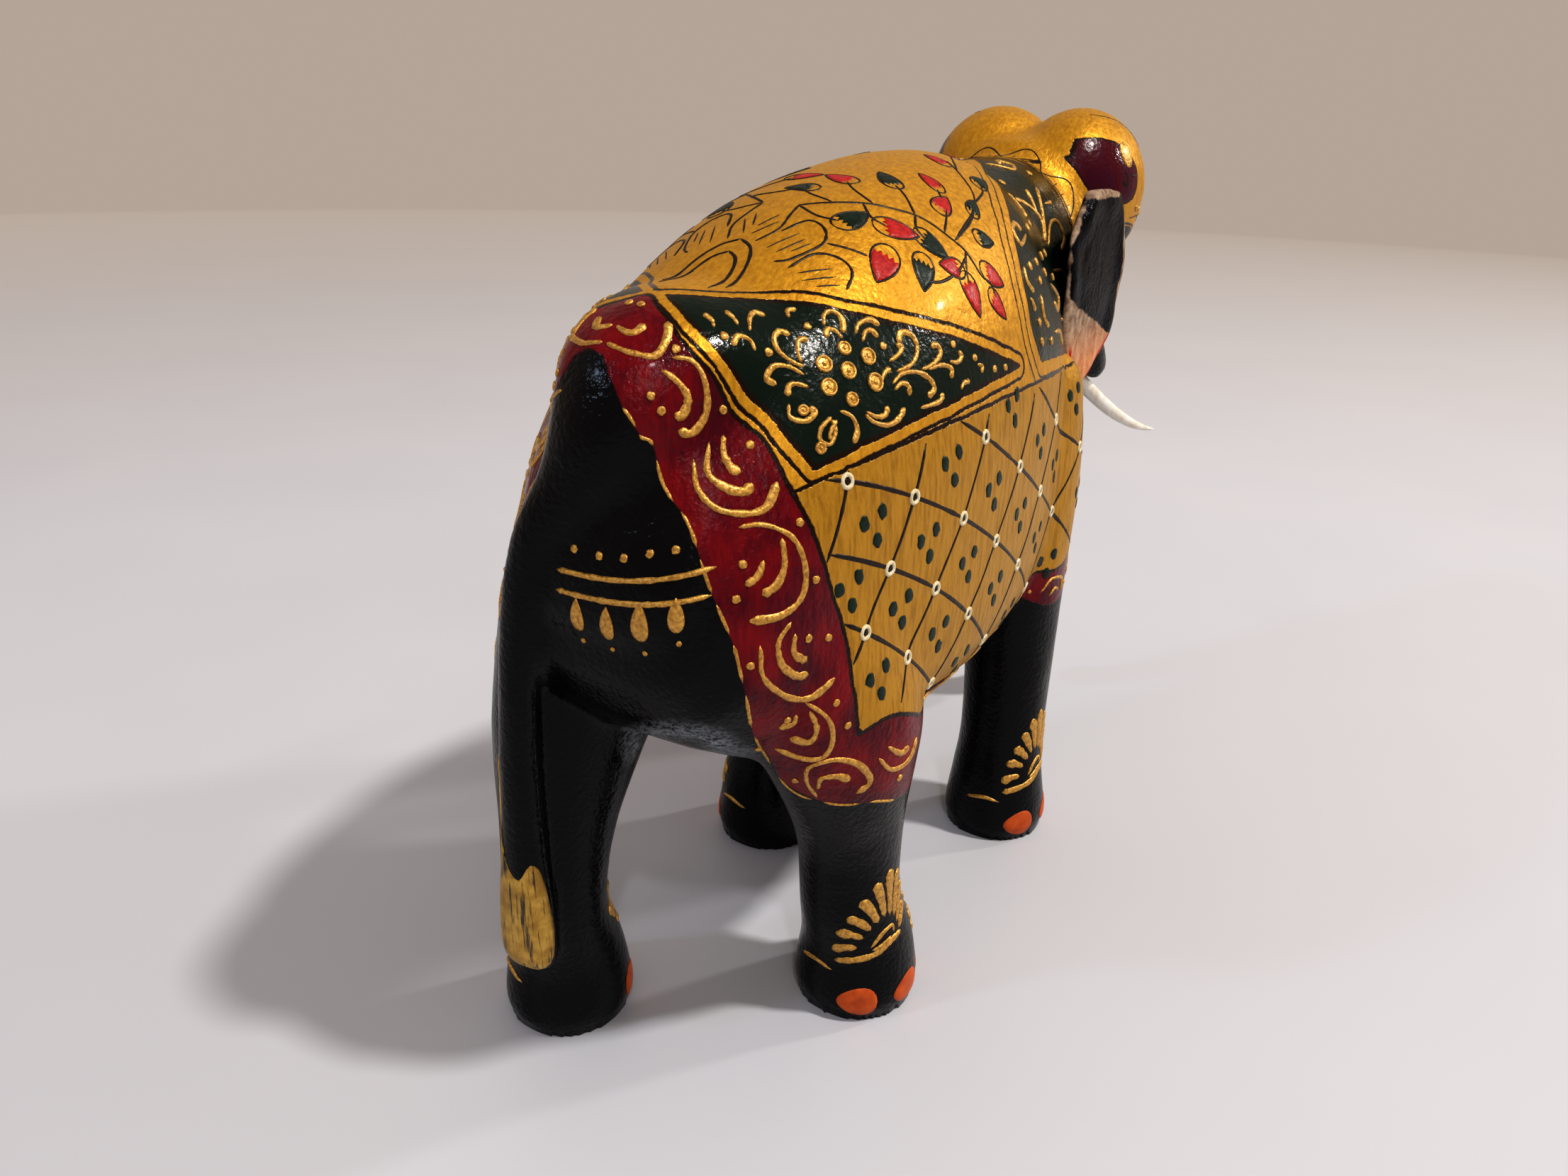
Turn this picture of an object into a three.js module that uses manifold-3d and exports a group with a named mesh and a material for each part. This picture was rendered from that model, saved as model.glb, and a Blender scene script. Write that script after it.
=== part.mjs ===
// A standing elephant carved from one block of wood, with two ears and two tusks let into the head.
// Millimetres, +Z up. The elephant faces -Y, so its right side is -X. The soles are at z = 0.
import * as THREE from "three";
import { mergeVertices } from "three/addons/utils/BufferGeometryUtils.js";
import Module from "manifold-3d";

const wasm = await Module();
wasm.setup();

// Driving dimensions
const CROWN_Z = 100; // top of the head
const RUMP_Y = 41; // rearmost point of the rump
const WHEELBASE = 44; // hind feet to fore feet, along Y
const TRACK = 27; // left feet to right feet, along X
const STRIDE = 21; // how far the right feet stand ahead of the left feet
const FLANK_X = 21.5; // half-width of the barrel
const FOOT_R = 7.4;
const CLEARANCE = 0.3; // gap round a piece let into the head
const EAR_X = 16; // middle of the ear's blade
const EAR_TENON = { deep: 7.5, long: 6, tall: 12 }; // along X, Y and Z

// Roundness of a half ring: 2 is an ellipse, more is squarer.
const ROUND = 2;
const BACK_ROUND = 2.25;
const BELLY_ROUND = 3.2;
const EDGE_STEPS = 4; // rings in a rounded end

// Solids -----------------------------------------------------------------------------------------

function solidOf(geometry) {
  const bare = geometry.clone();
  bare.deleteAttribute("normal");
  bare.deleteAttribute("uv");
  const merged = mergeVertices(bare, 1e-5);
  return new wasm.Manifold(
    new wasm.Mesh({
      numProp: 3,
      vertProperties: merged.attributes.position.array,
      triVerts: new Uint32Array(merged.index.array),
    }),
  );
}

function geometryOf(solid) {
  const mesh = solid.getMesh();
  const geometry = new THREE.BufferGeometry();
  geometry.setAttribute("position", new THREE.BufferAttribute(new Float32Array(mesh.vertProperties), 3));
  geometry.setIndex(new THREE.BufferAttribute(new Uint32Array(mesh.triVerts), 1));
  geometry.computeVertexNormals();
  return geometry;
}

const joined = (solids) => solids.reduce((all, one) => all.add(one));

// A closed skin over rings of points that all have the same count, with a pole point at each end.
function skin(rings, startPole, endPole) {
  const around = rings[0].length;
  const points = [startPole, ...rings.flat(), endPole];
  const last = points.length - 1;
  const at = (ring, k) => 1 + ring * around + (k % around);
  const faces = [];
  for (let k = 0; k < around; k++) {
    faces.push(0, at(0, k + 1), at(0, k));
    faces.push(last, at(rings.length - 1, k), at(rings.length - 1, k + 1));
    for (let ring = 0; ring + 1 < rings.length; ring++) {
      faces.push(at(ring, k), at(ring, k + 1), at(ring + 1, k));
      faces.push(at(ring, k + 1), at(ring + 1, k + 1), at(ring + 1, k));
    }
  }
  const geometry = new THREE.BufferGeometry().setFromPoints(points);
  geometry.setIndex(faces);
  return geometry;
}

const signedPower = (value, power) => Math.sign(value) * Math.abs(value) ** power;

/* A limb: sections along a centre line, each [x, y, z, across, plus, minus]. `across` is the half-width
   along X. `plus` and `minus` are the half-depths on the two sides of the centre line, `plus` towards the
   line's direction x X; one number serves for both. The sections are joined by smooth curves. An end is
   flat, or a dome of the depth given. `grow` swells the whole limb, for the socket that receives it. */
function limb(sections, options) {
  const { around, along, startDome = 0, endDome = 0, grow = 0 } = options;
  const { plusRound = ROUND, minusRound = ROUND } = options;
  const places = sections.map(([x, y, z]) => new THREE.Vector3(x, y, z));
  const halves = sections.map(([, , , across, plus, minus = plus]) => new THREE.Vector3(across, plus, minus));
  const centres = new THREE.CatmullRomCurve3(places, false, "centripetal");
  const sizes = new THREE.CatmullRomCurve3(halves, false, "catmullrom", 0.5);
  const ringAt = (t, shrink, shift) => {
    const centre = centres.getPoint(t);
    const forward = centres.getTangent(t);
    const across = new THREE.Vector3(1, 0, 0);
    across.addScaledVector(forward, -across.dot(forward)).normalize();
    const depth = new THREE.Vector3().crossVectors(forward, across);
    const size = sizes.getPoint(t);
    const ring = [];
    for (let k = 0; k < around; k++) {
      const angle = (2 * Math.PI * k) / around;
      const [half, round] = Math.sin(angle) > 0 ? [size.y, plusRound] : [size.z, minusRound];
      const u = signedPower(Math.cos(angle), 2 / round) * (size.x + grow) * shrink;
      const v = signedPower(Math.sin(angle), 2 / round) * (half + grow) * shrink;
      ring.push(
        centre.clone().addScaledVector(across, u).addScaledVector(depth, v).addScaledVector(forward, shift),
      );
    }
    return ring;
  };
  const rings = [];
  for (let step = EDGE_STEPS; step > 0; step--) {
    const angle = (step / (EDGE_STEPS + 1)) * (Math.PI / 2);
    if (startDome) rings.push(ringAt(0, Math.cos(angle), -(startDome + grow) * Math.sin(angle)));
  }
  for (let step = 0; step <= along; step++) rings.push(ringAt(step / along, 1, 0));
  for (let step = 1; step <= EDGE_STEPS; step++) {
    const angle = (step / (EDGE_STEPS + 1)) * (Math.PI / 2);
    if (endDome) rings.push(ringAt(1, Math.cos(angle), (endDome + grow) * Math.sin(angle)));
  }
  const pole = (t, shift) => centres.getPoint(t).addScaledVector(centres.getTangent(t), shift);
  return solidOf(
    skin(rings, pole(0, startDome ? -(startDome + grow) : 0), pole(1, endDome ? endDome + grow : 0)),
  );
}

// The carved block -------------------------------------------------------------------------------

// Barrel and neck: [x, y, z, half-width, height of the back above the centre, depth of the belly below].
function barrel() {
  return limb(
    [
      [0, RUMP_Y - 3.5, 65, 11, 11, 12],
      [0, RUMP_Y - 9, 63, 16.4, 19.5, 21],
      [0, 20, 61, 19.6, 26.5, 26.5],
      [0, 6, 60.5, FLANK_X, 31, 27.5],
      [0, -10, 61.5, FLANK_X, 32.5, 28],
      [0, -24, 64, 19.5, 31.5, 28],
      [0, -36, 68, 16, 28, 23],
      [0, -46, 74, 13.5, 22.5, 16],
      [0, -54, 79, 11.5, 17, 12],
    ],
    { around: 36, along: 20, startDome: 3, endDome: 4, plusRound: BACK_ROUND, minusRound: BELLY_ROUND },
  );
}

// A leg from its sole to the top of the thigh or shoulder.
function leg(foot, joints) {
  const sole = [
    [foot.x, foot.y, 0, FOOT_R - 1, FOOT_R - 1],
    [foot.x, foot.y, 1.2, FOOT_R, FOOT_R],
    [foot.x, foot.y, 4, FOOT_R - 0.1, FOOT_R - 0.1],
    [foot.x, foot.y + 0.3, 8, FOOT_R - 0.7, FOOT_R - 0.7],
  ];
  return limb([...sole, ...joints], { around: 20, along: 20, endDome: 6 });
}

function hindLeg(side) {
  const foot = { x: (side * TRACK) / 2, y: WHEELBASE / 2 + (side * STRIDE) / 2 };
  const hip = 24;
  const lean = (height) => THREE.MathUtils.lerp(foot.y, hip, height);
  return leg(foot, [
    [foot.x - side * 0.3, foot.y + 2, 14, FOOT_R - 1.5, FOOT_R - 1.4],
    [foot.x - side * 0.4, lean(0.08) + 1.8, 24, FOOT_R - 1.4, FOOT_R - 0.7],
    [side * 13, lean(0.35) + 1, 36, 7.6, 10],
    [side * 11.5, lean(0.75), 50, 8.2, 13.5],
    [side * 9.5, hip, 62, 8, 13],
  ]);
}

function foreLeg(side) {
  const foot = { x: (side * TRACK) / 2, y: -WHEELBASE / 2 + (side * STRIDE) / 2 };
  const shoulder = -30;
  const lean = (height) => THREE.MathUtils.lerp(foot.y, shoulder, height);
  return leg(foot, [
    [foot.x, lean(0.05), 15, FOOT_R - 1.4, FOOT_R - 1.2],
    [foot.x, lean(0.25), 28, FOOT_R - 1.1, FOOT_R - 0.9],
    [side * 13, lean(0.6), 42, 7.2, 8],
    [side * 12.2, lean(0.9), 55, 8.4, 10],
    [side * 11, shoulder, 66, 8.6, 10],
  ]);
}

// The head's mass, from the nape through the brow to the jaw.
function skull() {
  return limb(
    [
      [0, -48, 82, 12.5, 14, 14],
      [0, -55, 81, 13.4, 15.5, 17],
      [0, -63, 80, 12.6, 15, 18],
      [0, -69, 79, 10.5, 12, 14],
    ],
    { around: 28, along: 8, startDome: 5, endDome: 4 },
  );
}

// One of the two domes of the crown.
function dome(side) {
  const [x, y, z, across, fore, up] = [side * 6, -60.5, CROWN_Z - 11, 9.4, 13, 11];
  const ball = new THREE.SphereGeometry(1, 22, 14).scale(across, fore, up).translate(x, y, z);
  return solidOf(ball);
}

// The trunk hangs in front of the chest and curls forward at the tip.
function trunk() {
  return limb(
    [
      [0, -64, 82, 9.5, 8.5],
      [0, -68.5, 74, 8.4, 7.4],
      [0, -70.5, 64, 7, 6.2],
      [0, -71, 53, 5.9, 5.4],
      [0, -70.5, 42, 5, 4.7],
      [0, -69.5, 31, 4.3, 4.1],
      [0, -69.5, 21, 3.7, 3.6],
      [0, -72, 13, 3.3, 3.2],
      [0, -76, 10, 3, 2.9],
    ],
    { around: 20, along: 24, startDome: 4, endDome: 1.2 },
  );
}

// The lower lip, tucked under the root of the trunk.
function lip() {
  return limb(
    [
      [0, -54, 66, 6.5, 5],
      [0, -60, 62, 5, 4],
      [0, -64, 59, 3.2, 2.6],
    ],
    { around: 14, along: 6, startDome: 3, endDome: 2 },
  );
}

// The swelling beside the mouth that holds the root of a tusk.
function tuskSheath(side) {
  return limb(
    [
      [side * 6.5, -58, 72, 5, 5],
      [side * 8.6, -62, 66.5, 4, 4],
      [side * 9.9, -65, 62.8, 2.9, 2.9],
    ],
    { around: 16, along: 6, startDome: 3, endDome: 2 },
  );
}

// The tail grows out of the spine as a ridge, lies in relief down the left hind leg, and ends in a tuft.
function tail() {
  return limb(
    [
      [0, RUMP_Y - 17, 77.5, 12, 6.5],
      [0, RUMP_Y - 11, 76.8, 10.8, 7],
      [0.2, RUMP_Y - 7, 75.4, 9, 7],
      [0.7, RUMP_Y - 3.8, 72.5, 7, 5.4],
      [3.4, RUMP_Y - 0.8, 67, 3.8, 2.6],
      [6.8, RUMP_Y + 0.8, 61.5, 2.3, 1.8],
      [9.2, RUMP_Y + 0.8, 50, 2.3, 1.8],
      [10.5, RUMP_Y + 0.4, 38, 2.3, 1.8],
      [11, RUMP_Y, 28, 2.6, 1.9],
      [11, RUMP_Y, 20, 3.6, 2],
      [11, RUMP_Y, 13, 3.9, 2],
    ],
    { around: 12, along: 28, startDome: 1.5, endDome: 1.2 },
  );
}

// Pieces let into the head -----------------------------------------------------------------------

// An ear: an upright blade that stands just off the neck, with a tenon on its inner face.
function ear(side, grow = 0) {
  const blade = limb(
    [
      [side * (EAR_X - 0.6), -39, 64.6, 0.8, 2.2, 2.6],
      [side * (EAR_X - 0.2), -39, 68, 1, 5.4, 10.2],
      [side * EAR_X, -39, 73, 1.1, 7.4, 14.4],
      [side * EAR_X, -39, 79, 1.1, 7.8, 15.4],
      [side * (EAR_X - 0.2), -39, 85, 1.1, 7.4, 15],
      [side * (EAR_X - 0.6), -39, 89, 0.9, 2.4, 12.8],
    ],
    { around: 24, along: 10, startDome: 1.4, endDome: 1.2, grow },
  );
  const { deep, long, tall } = EAR_TENON;
  const tenon = new THREE.BoxGeometry(deep + 2 * grow, long + 2 * grow, tall + 2 * grow);
  tenon.translate(side * (EAR_X - deep / 2), -50, 79);
  return blade.add(solidOf(tenon));
}

// A tusk: a slender horn whose root sits in a drilled socket.
function tusk(side, grow = 0) {
  return limb(
    [
      [side * 6.5, -60, 64, 1.2, 1.2],
      [side * 9, -63, 61, 1.2, 1.2],
      [side * 13, -68.5, 55.8, 1.05, 1.05],
      [side * 16, -74, 52.6, 0.7, 0.7],
      [side * 17.8, -78, 51.4, 0.25, 0.25],
    ],
    { around: 14, along: 20, startDome: 0.6, endDome: 0.3, grow },
  );
}

// Assembly ---------------------------------------------------------------------------------------

const sides = [-1, 1];
const sockets = sides.flatMap((side) => [ear(side, CLEARANCE), tusk(side, CLEARANCE)]);
const block = joined([
  barrel(),
  skull(),
  trunk(),
  lip(),
  tail(),
  ...sides.flatMap((side) => [hindLeg(side), foreLeg(side), dome(side), tuskSheath(side)]),
]);
const carvedBody = sockets.reduce((body, socket) => body.subtract(socket), block);

const lacquer = new THREE.MeshStandardMaterial({ color: 0x0b0b0d, roughness: 0.25, metalness: 0 });
const ivory = new THREE.MeshStandardMaterial({ color: 0xece6da, roughness: 0.4, metalness: 0 });

const elephant = new THREE.Group();

function addPiece(name, solid, material) {
  const piece = new THREE.Mesh(geometryOf(solid), material);
  piece.name = name;
  elephant.add(piece);
}

addPiece("carved_body", carvedBody, lacquer);
for (const side of sides) {
  const hand = side < 0 ? "right" : "left";
  addPiece(`ear_${hand}`, ear(side), lacquer);
  addPiece(`tusk_${hand}`, tusk(side), ivory);
}

// The frame's origin is on the floor, under the middle of the whole figure.
const box = new THREE.Box3().setFromObject(elephant);
elephant.position.y = -(box.min.y + box.max.y) / 2;

export default elephant;
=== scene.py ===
"""Looks for the carved wooden elephant: a smooth carved body, painted regions and raised brush strokes.

Lengths below are in units of a hundredth of the figure's height, which is about one millimetre.
The elephant faces -Y, its right side is -X, and the soles are at z = 0.
"""

import math

import bmesh
import bpy
import numpy as np
from mathutils import Matrix, Vector
from mathutils.bvhtree import BVHTree


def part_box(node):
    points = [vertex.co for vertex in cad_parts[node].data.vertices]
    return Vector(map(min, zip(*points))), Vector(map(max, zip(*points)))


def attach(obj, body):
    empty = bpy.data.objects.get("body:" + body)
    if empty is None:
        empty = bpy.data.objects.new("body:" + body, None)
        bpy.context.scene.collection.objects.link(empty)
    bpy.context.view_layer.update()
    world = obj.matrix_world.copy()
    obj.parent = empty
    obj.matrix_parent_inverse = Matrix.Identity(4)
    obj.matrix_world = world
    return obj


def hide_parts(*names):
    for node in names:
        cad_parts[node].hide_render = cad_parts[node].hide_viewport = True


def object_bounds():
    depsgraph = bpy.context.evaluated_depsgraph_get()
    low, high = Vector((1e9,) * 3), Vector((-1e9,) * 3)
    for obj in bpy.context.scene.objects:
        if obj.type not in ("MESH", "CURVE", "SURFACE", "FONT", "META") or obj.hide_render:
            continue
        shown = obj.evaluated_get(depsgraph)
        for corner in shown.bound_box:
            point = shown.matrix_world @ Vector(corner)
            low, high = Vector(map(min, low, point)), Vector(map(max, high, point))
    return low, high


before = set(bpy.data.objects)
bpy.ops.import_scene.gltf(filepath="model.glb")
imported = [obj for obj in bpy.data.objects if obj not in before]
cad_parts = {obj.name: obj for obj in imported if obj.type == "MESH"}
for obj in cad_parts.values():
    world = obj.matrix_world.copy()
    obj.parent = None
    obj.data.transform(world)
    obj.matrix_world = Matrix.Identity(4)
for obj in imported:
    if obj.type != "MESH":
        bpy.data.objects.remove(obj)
cad_low, cad_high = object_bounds()

UNIT = (cad_high.z - cad_low.z) / 100
RIGHT, LEFT = -1, 1
rng = np.random.default_rng(12)
collection = bpy.context.scene.collection

# Body chart: a point is (y, angle). The angle is in degrees from the spine, round an axis along Y.
AXIS_Z = 60

BODY_VOXEL, EAR_VOXEL, TUSK_VOXEL = 0.62, 0.4, 0.2
DOT = 0.42  # the radius of a common dot
STROKE_HEIGHT = 0.2
LINE_HEIGHT = 0.07
SINK = 0.12  # how far paint reaches below the surface, so that it leaves no gap


# ---- Camera ----

def add_camera():
    """The place and tilt of the phone that took the picture, in the frame's own units."""
    place = Vector((-64.4, 132.9, 98.5)) * UNIT
    yaw, pitch, roll = math.radians(148.99), math.radians(-22.13), math.radians(1.73)
    forward = Vector((math.cos(pitch) * math.sin(yaw), math.cos(pitch) * math.cos(yaw), math.sin(pitch)))
    level = Vector((math.cos(yaw), -math.sin(yaw), 0))
    upright = level.cross(forward)
    right = level * math.cos(roll) + upright * math.sin(roll)
    up = upright * math.cos(roll) - level * math.sin(roll)
    data = bpy.data.cameras.new("camera")
    data.lens = 27
    data.sensor_width = 36
    data.clip_start = 0.005
    camera = bpy.data.objects.new("camera", data)
    turned = Matrix((right, up, -forward)).transposed()
    camera.matrix_world = Matrix.Translation(place) @ turned.to_4x4()
    collection.objects.link(camera)
    bpy.context.scene.camera = camera


add_camera()


# ---- Materials ----

class Shader:
    """A material with a Principled shader and short calls for the nodes that feed it."""

    def __init__(self, name, **constants):
        self.material = bpy.data.materials.new(name)
        self.material.use_nodes = True
        self.tree = self.material.node_tree
        self.principled = self.tree.nodes["Principled BSDF"]
        for socket, value in constants.items():
            self.principled.inputs[socket.replace("_", " ")].default_value = value
        self.place = self.node("TexCoord").outputs["Object"]

    def node(self, kind, inputs=None, **settings):
        made = self.tree.nodes.new("ShaderNode" + kind)
        for name, value in settings.items():
            setattr(made, name, value)
        for name, value in (inputs or {}).items():
            self.feed(made.inputs[name], value)
        return made

    def feed(self, socket, value):
        if isinstance(value, bpy.types.NodeSocket):
            self.tree.links.new(value, socket)
        else:
            socket.default_value = value

    def math(self, operation, first, second=0.0):
        return self.node("Math", {0: first, 1: second}, operation=operation).outputs[0]

    def plus(self, first, second):
        return self.math("ADD", first, second)

    def times(self, first, second):
        return self.math("MULTIPLY", first, second)

    def most(self, first, second):
        return self.math("MAXIMUM", first, second)

    def outside(self, value):
        return self.math("SUBTRACT", 1.0, value)

    def noise(self, period, detail=2.0, stretch=(1, 1, 1), roughness=0.5):
        """Noise whose blobs are about period units across, longer along an axis with a larger stretch."""
        scale = tuple(1 / (period * UNIT * s) for s in stretch)
        place = self.node("Mapping", {"Vector": self.place, "Scale": scale}).outputs[0]
        inputs = {"Vector": place, "Scale": 1.0, "Detail": detail, "Roughness": roughness}
        return self.node("TexNoise", inputs).outputs[0]

    def ramp(self, value, low, high, start=0.0, end=1.0):
        inputs = {"Value": value, "From Min": low, "From Max": high, "To Min": start, "To Max": end}
        return self.node("MapRange", inputs, clamp=True).outputs[0]

    def mix(self, share, first, second):
        inputs = {0: share, 6: first, 7: second}
        return self.node("Mix", inputs, data_type="RGBA").outputs[2]

    def shade(self, value, first, second, low=0.3, high=0.7):
        """A colour that goes from the first to the second as value goes from low to high."""
        return self.mix(self.ramp(value, low, high), first, second)

    def blend(self, share, first, second):
        return self.node("Mix", {0: share, 2: first, 3: second}, data_type="FLOAT").outputs[0]

    def field(self, name):
        return self.node("Attribute", attribute_name=name).outputs["Fac"]

    def colour(self, value):
        self.feed(self.principled.inputs["Base Color"], value)

    def roughness(self, value):
        self.feed(self.principled.inputs["Roughness"], value)

    def metallic(self, value):
        self.feed(self.principled.inputs["Metallic"], value)

    def bump(self, height, depth):
        inputs = {"Height": height, "Distance": depth * UNIT, "Strength": 1.0}
        self.feed(self.principled.inputs["Normal"], self.node("Bump", inputs).outputs[0])


def rgb(red, green, blue):
    return (red, green, blue, 1.0)


BACKDROP = rgb(0.49, 0.42, 0.365)
BACKDROP_GLOW = 0.75
BLACK = rgb(0.0025, 0.0025, 0.0035)
BROWN_LINE = rgb(0.016, 0.006, 0.003)
GOLD = rgb(0.62, 0.33, 0.03)
GOLD_DEEP = rgb(0.46, 0.23, 0.018)
OCHRE = rgb(0.46, 0.25, 0.03)
OCHRE_DEEP = rgb(0.33, 0.17, 0.018)
CRIMSON = rgb(0.2, 0.004, 0.009)
MAROON = rgb(0.07, 0.002, 0.01)
GREEN_BLACK = rgb(0.005, 0.014, 0.009)


def painted_body_material():
    """Black lacquer with the painted regions, each given by its distance field on the mesh."""
    s = Shader("painted_body", Coat_Weight=0.06, Coat_Roughness=0.08, Specular_IOR_Level=0.2)
    wobble = s.ramp(s.noise(3, 2), 0.25, 0.75, -0.12, 0.12)
    fine_wobble = s.ramp(s.noise(0.5, 2), 0.25, 0.75, -0.07, 0.07)
    tremble = s.plus(wobble, fine_wobble)

    def inside(name, soft=0.07):
        return s.ramp(s.plus(s.field(name), fine_wobble), -soft, soft)

    def line(name, offset, half_width):
        away = s.math("ABSOLUTE", s.math("SUBTRACT", s.plus(s.field(name), tremble), offset))
        return s.ramp(away, half_width, half_width - 0.1)

    blanket, panel, lattice = inside("blanket"), inside("panel"), inside("lattice")
    triangle, wedge, cap, temple = inside("triangle"), inside("wedge"), inside("cap"), inside("temple")
    gilt = s.most(panel, cap)
    open_gold = s.times(panel, s.outside(lattice))

    # The colours from the lacquer up: a painted highlight on the black, then the paints.
    streak = s.noise(0.5, 3, (1, 1, 9), 0.6)
    mottle = s.noise(6, 3)
    brush = s.noise(0.45, 2, (1, 1.6, 5), 0.55)
    # Painted highlight: a pale blue-grey band, patched with noise and left matte, along the arch under the
    # belly and down the right hind leg's inner edge.
    painted_highlight_band = s.times(inside("highlight_band", 1.3), s.ramp(s.noise(0.5, 4, roughness=0.7), 0.4, 0.6))
    colour = s.mix(painted_highlight_band, BLACK, rgb(0.3, 0.33, 0.36))
    worn_red = s.plus(s.times(mottle, 0.65), s.times(streak, 0.35))
    colour = s.mix(blanket, colour, s.shade(worn_red, MAROON, CRIMSON, 0.38, 0.62))
    colour = s.mix(gilt, colour, s.shade(brush, GOLD_DEEP, GOLD, 0.3, 0.75))
    colour = s.mix(s.times(panel, lattice), colour, s.shade(streak, OCHRE_DEEP, OCHRE, 0.33, 0.55))
    colour = s.mix(s.most(triangle, wedge), colour, GREEN_BLACK)
    colour = s.mix(temple, colour, s.shade(s.noise(4, 2), rgb(0.055, 0.004, 0.02), MAROON, 0.4, 0.6))

    # Dark lines: the region, how far inside its edge they run, half their width, and where they show.
    outline = 0.0
    for name, offset, half_width, shown in (
            ("panel", 0.0, 0.28, 1.0), ("lattice", 0.0, 0.28, panel), ("temple", 0.0, 0.2, 1.0),
            ("triangle", 0.0, 0.3, open_gold), ("triangle", -1.35, 0.26, open_gold),
            ("wedge", -0.1, 0.22, open_gold), ("wedge", -1.9, 0.2, open_gold),
            ("wedge", -3.5, 0.2, open_gold), ("cap", 0.35, 0.22, cap)):
        outline = s.most(outline, s.times(shown, line(name, offset, half_width)))
    s.colour(s.mix(outline, colour, BROWN_LINE))

    bare_gold = s.times(gilt, s.outside(s.most(triangle, wedge)))
    bare_gold = s.times(bare_gold, s.outside(s.most(outline, temple)))
    s.metallic(s.times(bare_gold, 0.42))
    shine = s.blend(bare_gold, s.ramp(mottle, 0.3, 0.7, 0.16, 0.3), s.ramp(brush, 0.3, 0.7, 0.36, 0.5))
    s.roughness(s.blend(painted_highlight_band, shine, 0.7))
    pebbles = s.times(s.noise(0.6, 2), s.blend(gilt, 0.85, 0.45))
    ridges = s.times(s.times(brush, bare_gold), 0.5)
    swell = s.times(s.noise(5, 1), 0.9)
    film = s.times(s.plus(blanket, gilt), 0.35)
    s.bump(s.plus(s.plus(s.plus(pebbles, ridges), swell), film), 0.16)
    return s.material


def raised_gold_material():
    """Thick gold paint, brushed along and slightly grainy."""
    s = Shader("raised_gold", Coat_Weight=0.25, Coat_Roughness=0.2)
    grain = s.noise(0.35, 3)
    s.colour(s.shade(grain, rgb(0.36, 0.18, 0.035), rgb(0.68, 0.41, 0.1), 0.3, 0.65))
    s.metallic(0.55)
    s.roughness(s.ramp(grain, 0.3, 0.7, 0.3, 0.48))
    s.bump(s.plus(grain, s.noise(0.9, 2)), 0.12)
    return s.material


def flat_paint_material(name, light, dark, period=0.6, roughness=(0.3, 0.45)):
    """Brushed enamel between two shades."""
    s = Shader(name, Specular_IOR_Level=0.3)
    grain = s.noise(period, 3)
    s.colour(s.shade(grain, dark, light, 0.32, 0.68))
    s.roughness(s.ramp(grain, 0.3, 0.7, *roughness))
    s.bump(grain, 0.07)
    return s.material


def tuft_material():
    """Dry gold brushed downwards over black, so that streaks of black show through."""
    s = Shader("brushed_gold", Coat_Weight=0.2)
    hair = s.noise(0.4, 4, (1, 1, 14), 0.65)
    gold = s.shade(s.noise(1.5, 2), rgb(0.4, 0.23, 0.04), rgb(0.62, 0.4, 0.09), 0.35, 0.65)
    s.colour(s.shade(hair, rgb(0.03, 0.022, 0.01), gold, 0.36, 0.46))
    s.metallic(s.ramp(hair, 0.36, 0.46, 0.0, 0.5))
    s.roughness(s.ramp(hair, 0.3, 0.6, 0.3, 0.5))
    s.bump(hair, 0.16)
    return s.material


def ear_material():
    """Gloss black in the middle, a border that is peach on the lobe and pale tan above, and a red stripe
    along the lobe. The tan along the top and front edges is partly painted sheen where those edges catch the
    light.
    """
    s = Shader("painted_ear", Coat_Weight=0.0, Specular_IOR_Level=0.04)
    wobble = s.ramp(s.noise(2.5, 3), 0.25, 0.75, -0.4, 0.4)

    def inside(name, soft):
        return s.ramp(s.plus(s.field(name), wobble), -soft, soft)

    peach = s.shade(s.noise(1.6, 3, (1, 1, 3)), rgb(0.5, 0.2, 0.09), rgb(0.66, 0.38, 0.22), 0.35, 0.65)
    # Pale tan for the border above the lobe: rim paint, lightened into a painted sheen where the top and
    # front edges catch the light.
    tan_and_edge_sheen = s.shade(s.noise(1.2, 3), rgb(0.2, 0.13, 0.09), rgb(0.4, 0.3, 0.22), 0.35, 0.65)
    border = s.mix(inside("low", 3.0), tan_and_edge_sheen, peach)
    from_rim = s.plus(s.field("rim"), s.times(wobble, 0.4))
    away = s.math("ABSOLUTE", s.math("SUBTRACT", from_rim, 1.1))
    stripe = s.times(s.ramp(away, 0.42, 0.28), inside("low", 0.5))
    border = s.mix(stripe, border, rgb(0.45, 0.03, 0.01))
    centre = inside("centre", 0.12)
    s.colour(s.mix(centre, border, s.shade(s.noise(3, 2), BLACK, rgb(0.01, 0.011, 0.016))))
    s.roughness(s.blend(centre, 0.42, 0.26))
    s.bump(s.plus(s.noise(0.7, 2), s.times(s.noise(5, 1), 2.0)), 0.14)
    return s.material


def tusk_material():
    """White enamel, a little yellow in the hollows of the grain."""
    s = Shader("white_tusk", Coat_Weight=0.25, Coat_Roughness=0.2)
    grain = s.noise(0.8, 3, (1, 2.5, 2.5))
    s.colour(s.shade(grain, rgb(0.66, 0.6, 0.5), rgb(0.83, 0.81, 0.77)))
    s.roughness(s.ramp(grain, 0.3, 0.7, 0.28, 0.42))
    s.bump(grain, 0.05)
    return s.material


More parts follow.
